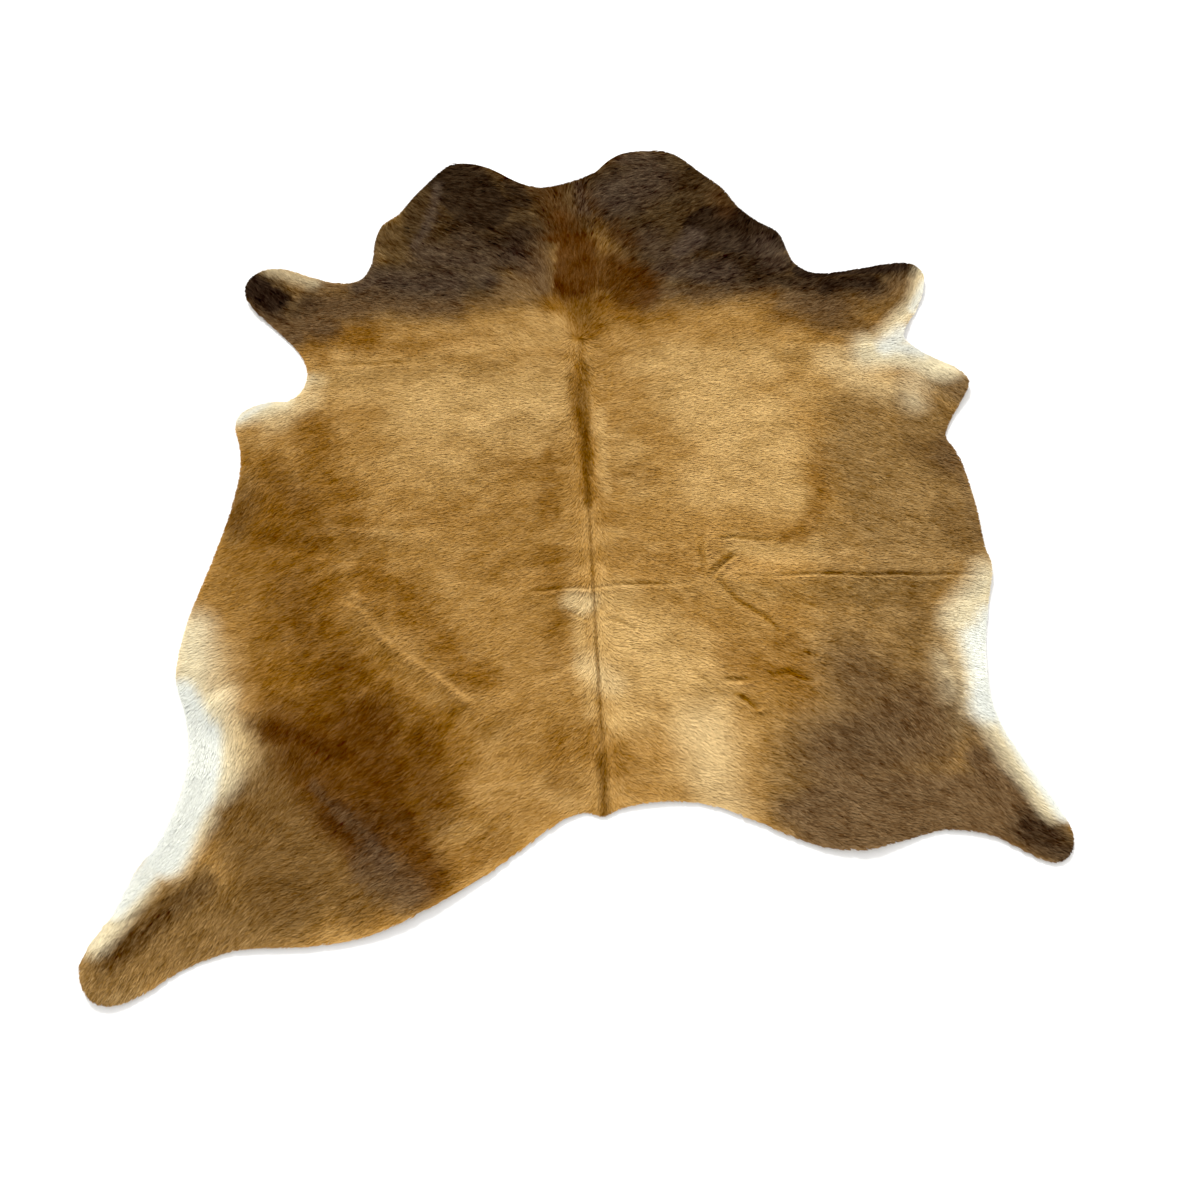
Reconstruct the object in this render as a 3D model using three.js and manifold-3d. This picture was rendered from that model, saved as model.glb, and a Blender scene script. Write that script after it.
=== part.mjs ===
// A whole hair-on cowhide, tanned and trimmed, laid out flat with the hair side up.
// Sizes are in millimetres. X is across the hide, Y runs along the backbone from the tail to the neck, and Z is up.
// The origin is the middle of the hide's length and width, at the level of the ground that it lies on.
import * as THREE from 'three';
import Module from 'manifold-3d';
import { mergeVertices } from 'three/addons/utils/BufferGeometryUtils.js';

// Driving sizes
const LEATHER = 2; // the tanned skin
const COAT = 3; // the short hair, lying flat on the skin
const THICKNESS = LEATHER + COAT;
const GRID = 50; // spacing of the places where the hide's height is worked out
const STEPS_PER_MARK = 3; // straight steps of the cut edge between two landmarks
const SAME_PLACE = 1e-3; // corners of a mesh this near each other are one

// The cut edge, clockwise as seen from above. Each row is a landmark: how far it is to the right of the middle, and
// how far towards the neck.
const EDGE = [
  { part: 'right cheek', marks: table([
    [-40, 947], [35, 962], [100, 994], [145, 1041], [190, 1069], [240, 1073], [290, 1069], [338, 1046],
    [395, 981], [448, 912], [485, 838], [530, 789], [578, 750], [594, 690], [609, 637],
  ]) },
  { part: 'right foreleg', marks: table([
    [655, 603], [760, 608], [870, 621], [915, 611], [933, 580], [927, 532], [903, 475], [856, 407],
    [844, 374], [862, 345], [918, 309],
  ]) },
  { part: 'right elbow', marks: table([
    [958, 279], [978, 230], [945, 172], [905, 113], [891, 78], [904, 44],
  ]) },
  { part: 'right flank', marks: table([
    [914, 0], [918, -130], [915, -225], [921, -267], [892, -366], [860, -480], [847, -571], [857, -640],
    [885, -704],
  ]) },
  { part: 'right hind leg', marks: table([
    [915, -768], [943, -836], [949, -872], [937, -904], [908, -921], [868, -911], [795, -865], [740, -849],
  ]) },
  { part: 'right rump', marks: table([
    [690, -845], [620, -859], [530, -875], [450, -864], [350, -820], [255, -773], [190, -758], [120, -754],
  ]) },
  { part: 'tail', marks: table([
    [55, -764], [20, -777], [-12, -767], [-55, -777],
  ]) },
  { part: 'left rump', marks: table([
    [-135, -827], [-225, -886], [-350, -947], [-450, -980], [-560, -990], [-690, -988], [-790, -1018],
  ]) },
  { part: 'left hind leg', marks: table([
    [-850, -1053], [-885, -1068], [-920, -1073], [-953, -1058], [-977, -1010], [-970, -965], [-930, -903],
    [-905, -842], [-889, -808], [-866, -784],
  ]) },
  { part: 'left flank', marks: table([
    [-842, -725], [-824, -635], [-826, -572], [-841, -500], [-861, -450], [-866, -385], [-856, -290],
    [-835, -212], [-808, -105], [-784, 8], [-778, 95], [-786, 155],
  ]) },
  { part: 'left elbow', marks: table([
    [-800, 202], [-797, 236], [-768, 266], [-712, 280], [-676, 279], [-650, 303],
  ]) },
  { part: 'left foreleg', marks: table([
    [-637, 352], [-662, 422], [-738, 512], [-794, 575], [-812, 626], [-803, 668], [-768, 696], [-720, 697],
    [-640, 663], [-555, 640],
  ]) },
  { part: 'left cheek', marks: table([
    [-515, 653], [-492, 703], [-486, 780], [-468, 833], [-425, 868], [-388, 928], [-332, 1005], [-288, 1047],
    [-248, 1053], [-180, 1030], [-95, 971],
  ]) },
];

// The folds that the hide was packed in and its slack. Each row is a soft ridge from one place to another: how high
// it lifts the hide and how far it reaches to either side.
const FOLDS = [
  { name: 'packing fold, right', from: [330, -270], to: [890, -278], height: 9, reach: 75 },
  { name: 'packing fold, over the backbone', from: [-110, -268], to: [250, -268], height: 4, reach: 65 },
  { name: 'pinch beside the packing fold', from: [310, -180], to: [300, -255], height: 6, reach: 60 },
  { name: 'right loin, slanting', from: [325, -300], to: [430, -405], height: 5, reach: 60 },
  { name: 'right loin, low', from: [255, -495], to: [370, -545], height: 4, reach: 60 },
  { name: 'left flank, slanting', from: [-475, -290], to: [-200, -550], height: 9, reach: 75 },
  { name: 'left thigh, from the flank edge', from: [-760, -505], to: [-560, -615], height: 9, reach: 75 },
  { name: 'left thigh, towards the rump', from: [-530, -680], to: [-400, -860], height: 7, reach: 75 },
  { name: 'left shoulder, level', from: [-620, 372], to: [-180, 380], height: 4, reach: 65 },
  { name: 'left belly, level', from: [-690, -50], to: [-330, -110], height: 4, reach: 75 },
  { name: 'right shoulder, level', from: [560, 380], to: [800, 366], height: 4, reach: 65 },
];

// Where the cut edge doesn't quite lie down. Each row is a round place on the edge: how high it stands there and how
// far inwards the lift reaches.
const LIFTS = [
  { name: 'right flank', at: [930, -180], height: 8, reach: 190 },
  { name: 'right groin', at: [860, -560], height: 9, reach: 170 },
  { name: 'right foreleg notch', at: [850, 375], height: 9, reach: 120 },
  { name: 'right elbow', at: [985, 225], height: 7, reach: 120 },
  { name: 'right foreleg', at: [925, 560], height: 6, reach: 120 },
  { name: 'right cheek', at: [470, 870], height: 5, reach: 150 },
  { name: 'left cheek', at: [-420, 880], height: 5, reach: 140 },
  { name: 'left foreleg', at: [-810, 630], height: 6, reach: 120 },
  { name: 'left flank', at: [-870, -420], height: 9, reach: 180 },
  { name: 'left rump', at: [-330, -950], height: 7, reach: 170 },
  { name: 'right rump', at: [540, -885], height: 5, reach: 150 },
  { name: 'left hind leg', at: [-980, -1020], height: 6, reach: 120 },
];

/** Names the two columns of a table of landmarks. */
function table(rows) {
  return rows.map(([across, along]) => ({ across, along }));
}

/** A soft bump: 1 at its middle, 0 from its reach outwards, with no kink at either. */
function bump(distance, reach) {
  return distance < reach ? (0.5 + 0.5 * Math.cos((Math.PI * distance) / reach)) : 0;
}

/** How far a place is from the straight line between two others. */
function distanceToLine(x, y, [x0, y0], [x1, y1]) {
  const lengthSquared = (x1 - x0) ** 2 + (y1 - y0) ** 2;
  const share = THREE.MathUtils.clamp(((x - x0) * (x1 - x0) + (y - y0) * (y1 - y0)) / lengthSquared, 0, 1);
  return Math.hypot(x - x0 - share * (x1 - x0), y - y0 - share * (y1 - y0));
}

/** How high the hide's underside stands over the ground at a place: the highest fold or lift that reaches it. */
function groundGap(x, y) {
  const folds = FOLDS.map(({ from, to, height, reach }) => height * bump(distanceToLine(x, y, from, to), reach));
  const lifts = LIFTS.map(({ at, height, reach }) => height * bump(Math.hypot(x - at[0], y - at[1]), reach));
  return Math.max(0, ...folds, ...lifts);
}

/** The cut edge: one smooth closed curve through all the landmarks. */
function edgeShape() {
  const marks = EDGE.flatMap(({ marks }) => marks);
  const places = marks.map(({ across, along }) => new THREE.Vector3(across, along, 0));
  const curve = new THREE.CatmullRomCurve3(places, true, 'centripetal');
  const points = curve.getPoints(marks.length * STEPS_PER_MARK).slice(0, -1);
  return new THREE.Shape(points.map(({ x, y }) => new THREE.Vector2(x, y)).reverse());
}

/** A closed slab, larger than the hide, whose two faces follow the folds a hide's thickness apart. */
function foldedSlab(halfWidth, halfLength) {
  const columns = Math.ceil((2 * halfWidth) / GRID);
  const rows = Math.ceil((2 * halfLength) / GRID);
  const slab = new THREE.BoxGeometry(columns * GRID, rows * GRID, THICKNESS, columns, rows, 1);
  const place = slab.getAttribute('position');
  for (let i = 0; i < place.count; i++) {
    const top = place.getZ(i) > 0 ? THICKNESS : 0;
    place.setZ(i, groundGap(place.getX(i), place.getY(i)) + top);
  }
  return slab;
}

/** The solid of a closed mesh, with its shared corners joined. */
function solid(library, geometry) {
  const bare = geometry.clone();
  bare.deleteAttribute('normal');
  bare.deleteAttribute('uv');
  const merged = mergeVertices(bare, SAME_PLACE);
  return new library.Manifold(new library.Mesh({
    numProp: 3,
    vertProperties: new Float32Array(merged.getAttribute('position').array),
    triVerts: new Uint32Array(merged.index.array),
  }));
}

/** The surface of a solid, for a mesh. */
function surface(body) {
  const { vertProperties, triVerts } = body.getMesh();
  const geometry = new THREE.BufferGeometry();
  geometry.setAttribute('position', new THREE.BufferAttribute(vertProperties, 3));
  geometry.setIndex(new THREE.BufferAttribute(triVerts, 1));
  geometry.computeVertexNormals();
  return geometry;
}

/** The hide: the folded slab, cut along the edge. */
function hideGeometry(library) {
  const shape = edgeShape();
  const box = new THREE.Box2().setFromPoints(shape.getPoints());
  const size = box.getSize(new THREE.Vector2());
  const middle = box.getCenter(new THREE.Vector2());
  const clear = THICKNESS + Math.max(...[...FOLDS, ...LIFTS].map(({ height }) => height));
  const cutter = new THREE.ExtrudeGeometry(shape, { depth: 3 * clear, bevelEnabled: false });
  cutter.translate(0, 0, -clear);
  const slab = solid(library, foldedSlab(size.x / 2 + GRID, size.y / 2 + GRID));
  return surface(slab.intersect(solid(library, cutter))).translate(-middle.x, -middle.y, 0);
}

const wasm = await Module();
wasm.setup();

const coat = new THREE.MeshStandardMaterial({ color: 0xa9793f, roughness: 0.75, metalness: 0 });
const cowhide = new THREE.Mesh(hideGeometry(wasm), coat);
cowhide.name = 'cowhide';

const part = new THREE.Group();
part.add(cowhide);
export default part;
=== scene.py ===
"""A hair-on cowhide rug, laid out flat with the hair side up: its skin, its short coat and a plain studio."""
import math
from functools import lru_cache
from types import SimpleNamespace

import bpy
import numpy as np
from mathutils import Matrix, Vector


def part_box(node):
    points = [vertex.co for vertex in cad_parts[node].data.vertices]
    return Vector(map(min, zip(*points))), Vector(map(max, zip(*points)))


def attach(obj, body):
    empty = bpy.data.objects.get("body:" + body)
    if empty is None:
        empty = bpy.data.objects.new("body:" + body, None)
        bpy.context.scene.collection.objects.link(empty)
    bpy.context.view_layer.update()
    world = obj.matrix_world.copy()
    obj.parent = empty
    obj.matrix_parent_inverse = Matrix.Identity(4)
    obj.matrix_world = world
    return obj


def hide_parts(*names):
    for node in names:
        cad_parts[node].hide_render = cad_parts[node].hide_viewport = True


bl_info = {
    "name": "Cowhide Rug",
    "version": (1, 0, 0),
    "blender": (4, 5, 0),
    "location": "3D View > Sidebar > Cowhide",
    "description": "Builds a whole hair-on cowhide, laid flat, around its packed frame",
    "category": "Add Mesh",
}

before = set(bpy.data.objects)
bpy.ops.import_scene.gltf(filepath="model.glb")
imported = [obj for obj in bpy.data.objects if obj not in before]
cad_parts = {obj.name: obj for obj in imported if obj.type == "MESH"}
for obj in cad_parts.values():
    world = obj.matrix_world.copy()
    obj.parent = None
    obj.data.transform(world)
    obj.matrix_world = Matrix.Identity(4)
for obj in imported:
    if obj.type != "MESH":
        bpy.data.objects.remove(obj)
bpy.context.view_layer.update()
MM = 0.001

# Lattices on which the hide's relief, hair direction and tones are worked out, in millimetres
FINE = 2.5
RIM_STEP = 3
FLOW_STEP = 8
MARGIN = 30.0
SKIN_PITCH = 8.0
CORE_SHARE = 0.35  # a lattice place this share of the pitch inside the rim keeps its place
RIM_INSET = 3.0  # the skin stops this far inside the outline, and the hair reaches past it
RIM_BULGE = 0.6
BACKBONE = 30.0  # how far to the right of the middle the backbone runs
WHORL = 435.0  # where the hair parts between neck and back
TOWARDS_LIGHT = (-0.25, 0.97)  # level direction of the light, towards which sloping hair is painted lighter as sheen
WANDER = 5.0  # how far folds and creases stray from the lines given for them
LOOSE = 0.9  # half of the height of the skin's wide slack
RIPPLE = 0.5  # half of the height of its small ripples
CURL = 2.2  # half of the most that the cut edge curls up
CURL_REACH = 24.0  # how far inwards the curl has faded to a third
STRAY = 12.0  # how far the tones' borders stray from the strokes
STRAY_RIM = 90.0  # from this distance to the rim inwards they stray in full
ROUGH = 0.25  # the part of the straying that follows single tufts
LOCK_SPREAD = 8.0  # spread of the locks' directions and of their roll, in degrees
NECK_LONGER = 0.35  # how much longer the hair of the neck is
TUCK = 0.2  # how deep a lock's root sits in the skin
BANDS = ("neck", "shoulders", "loins", "rump")

# The studio, in metres: half of the floor's side, the sun's place, spread and strength, and the camera with
# its tilt below the level, its heading, and its focal length and film width in millimetres
FLOOR_HALF = 9.0
SUN_PLACE = (-0.9, 3.4, 2.3)
SUN_SPREAD = math.radians(16)
SUN_STRENGTH = 3.2
CAMERA_PLACE = (-0.01447, -1.22875, 2.00103)
CAMERA_TILT = math.radians(65)
CAMERA_HEADING = (0.0611, 0.9981)
FOCAL_LENGTH = 30.0
FILM_WIDTH = 36.0

# The folds that the hide was packed in and its slack, as in the solid. Each row: from x, y, to x, y, height,
# reach.
FOLDS = (
    (330, -270, 890, -278, 9, 75),  # packing fold, right
    (-110, -268, 250, -268, 4, 65),  # packing fold, over the backbone
    (310, -180, 300, -255, 6, 60),  # pinch beside the packing fold
    (325, -300, 430, -405, 5, 60),  # right loin, slanting
    (255, -495, 370, -545, 4, 60),  # right loin, low
    (-475, -290, -200, -550, 9, 75),  # left flank, slanting
    (-760, -505, -560, -615, 9, 75),  # left thigh, from the flank edge
    (-530, -680, -400, -860, 7, 75),  # left thigh, towards the rump
    (-620, 372, -180, 380, 4, 65),  # left shoulder, level
    (-690, -50, -330, -110, 4, 75),  # left belly, level
    (560, 380, 800, 366, 4, 65),  # right shoulder, level
)

# Where the cut edge doesn't quite lie down, as in the solid. Each row: x, y, height, reach.
LIFTS = (
    (930, -180, 8, 190),  # right flank
    (860, -560, 9, 170),  # right groin
    (850, 375, 9, 120),  # right foreleg notch
    (985, 225, 7, 120),  # right elbow
    (925, 560, 6, 120),  # right foreleg
    (470, 870, 5, 150),  # right cheek
    (-420, 880, 5, 140),  # left cheek
    (-810, 630, 6, 120),  # left foreleg
    (-870, -420, 9, 180),  # left flank
    (-330, -950, 7, 170),  # left rump
    (540, -885, 5, 150),  # right rump
    (-980, -1020, 6, 120),  # left hind leg
)

# Fine creases. Each row: the side of the raised lip, 1 for the left when walking along the crease and -1 for
# the right, height of the lip, depth and reach of the trough, and the crease's places x, y.
CREASES = (
    (-1, 0.9, 3.0, 8, (345, -262, 400, -265, 470, -269, 670, -279, 905, -292)),  # packing fold, right
    (-1, 0.8, 2.2, 9, (-112, -268, 100, -268, 250, -266)),  # packing fold, over the backbone
    (-1, 2.0, 4.6, 10, (278, -146, 276, -200, 273, -258)),  # pinch, standing
    (-1, 1.0, 3.4, 10, (316, -166, 350, -156, 400, -166, 446, -171)),  # pinch, level
    (1, 1.0, 4.4, 11, (283, -264, 305, -240, 328, -221, 354, -203)),  # pinch, bowed
    (-1, 1.8, 4.6, 12, (306, -258, 318, -285, 345, -318, 395, -358, 432, -410)),  # right loin, slanting
    (-1, 0.8, 1.8, 12, (248, -305, 256, -345, 262, -372)),  # right loin, standing
    (-1, 0.9, 3.8, 11, (232, -472, 256, -500, 288, -542)),  # right loin, low
    (1, 0.8, 3.2, 12, (284, -500, 345, -504)),  # right loin, low and level
    (1, 0.6, 3.2, 13, (390, -496, 440, -494, 484, -516)),  # right loin, further out
    (-1, 0.9, 3.6, 11, (312, -538, 332, -546, 356, -572)),  # right loin, low end
    (-1, 0.4, 4.0, 10, (474, -446, 492, -458)),  # right loin, far end
    # left flank, slanting
    (-1, 3.6, 0.6, 12, (-474, -276, -422, -346, -376, -394, -324, -434, -255, -495, -190, -560)),
    (1, 1.6, 1.0, 12, (-512, -262, -440, -304)),  # left flank, pinch at its start
    (-1, 1.2, 0.5, 14, (-634, -150, -630, -330, -622, -500)),  # left flank, standing, outer
    (-1, 1.2, 0.5, 12, (-570, -235, -566, -430)),  # left flank, standing, inner
    # left thigh, from the rim
    (-1, 0.3, 1.5, 28, (-756, -506, -700, -540, -653, -556, -600, -578, -535, -615, -480, -612)),
    (1, 1.4, 0.6, 16, (-560, -690, -492, -750, -440, -800, -400, -860)),  # left thigh, towards the rump
    (1, 0.8, 2.4, 9, (-672, -808, -640, -776)),  # left thigh, nick
    (-1, 0.6, 1.3, 13, (-628, 378, -400, 372, -176, 381)),  # left shoulder, level
    (-1, 0.6, 1.3, 13, (556, 381, 806, 365)),  # right shoulder, level
    (-1, 1.6, 0.8, 18, (-700, -30, -560, -72, -325, -98)),  # left belly, level
    (-1, 1.4, 0.7, 18, (-640, -130, -520, -160, -420, -175)),  # left belly, below it
    (-1, 1.1, 0.6, 18, (-690, 60, -500, 34)),  # left belly, above it
    (1, 0.8, 1.8, 9, (-26, -318, 24, -342)),  # nick beside the backbone, left
    (1, 0.8, 1.8, 9, (56, -344, 112, -374)),  # nick beside the backbone, right
    (-1, 1.2, 0.8, 18, (700, -470, 850, -520)),  # right thigh
    (1, 1.4, 1.3, 12, (-930, -930, -780, -872)),  # left hind leg, along it
)

# Hair direction: each row is x from the backbone, y, and where the hair points there, in degrees from +X
# towards +Y.
# These hold on the right side, and mirrored on the left.
BOTH_SIDES = (
    (60, 620, 72), (60, 740, 55), (130, 640, 38), (200, 610, 22), (270, 750, 15), (420, 820, 30),
    (120, 900, 10), (210, 1030, -15), (420, 600, 5), (120, 520, 22), (270, 500, 10), (420, 450, 4),
    (570, 430, 2), (270, 360, 3), (570, 300, -14), (420, 220, -5), (720, 220, -32), (250, 80, -6),
    (580, 80, -30), (120, 0, -8), (270, 0, -11), (570, -30, -26), (120, -150, -20), (330, -150, -15),
    (640, -150, -32), (120, -300, -18), (350, -300, -19), (560, -300, -28), (120, -450, -20),
    (350, -450, -26), (580, -450, -28), (270, -560, -34), (120, -620, -38), (450, -620, -42),
    (640, -620, -62), (270, -740, -30), (560, -760, -34), (780, -740, -58), (620, -850, -16),
)
RIGHT_SIDE = (
    (500, 790, 70), (530, 740, 60), (720, 530, 18), (870, 545, 60), (880, 220, -62), (800, 100, -36),
    (520, -280, -9), (740, -300, -6), (800, -520, -42), (870, -880, -36),
)
LEFT_SIDE = (
    (480, 830, 78), (410, 760, 42), (780, 650, 40), (780, 600, 50), (630, 520, -8), (780, 0, -60),
    (850, -300, -18), (480, -530, -50), (780, -600, -85), (780, -680, -75), (880, -820, -50),
    (780, -900, -64), (930, -1030, -66), (330, -880, -20),
)

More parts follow.
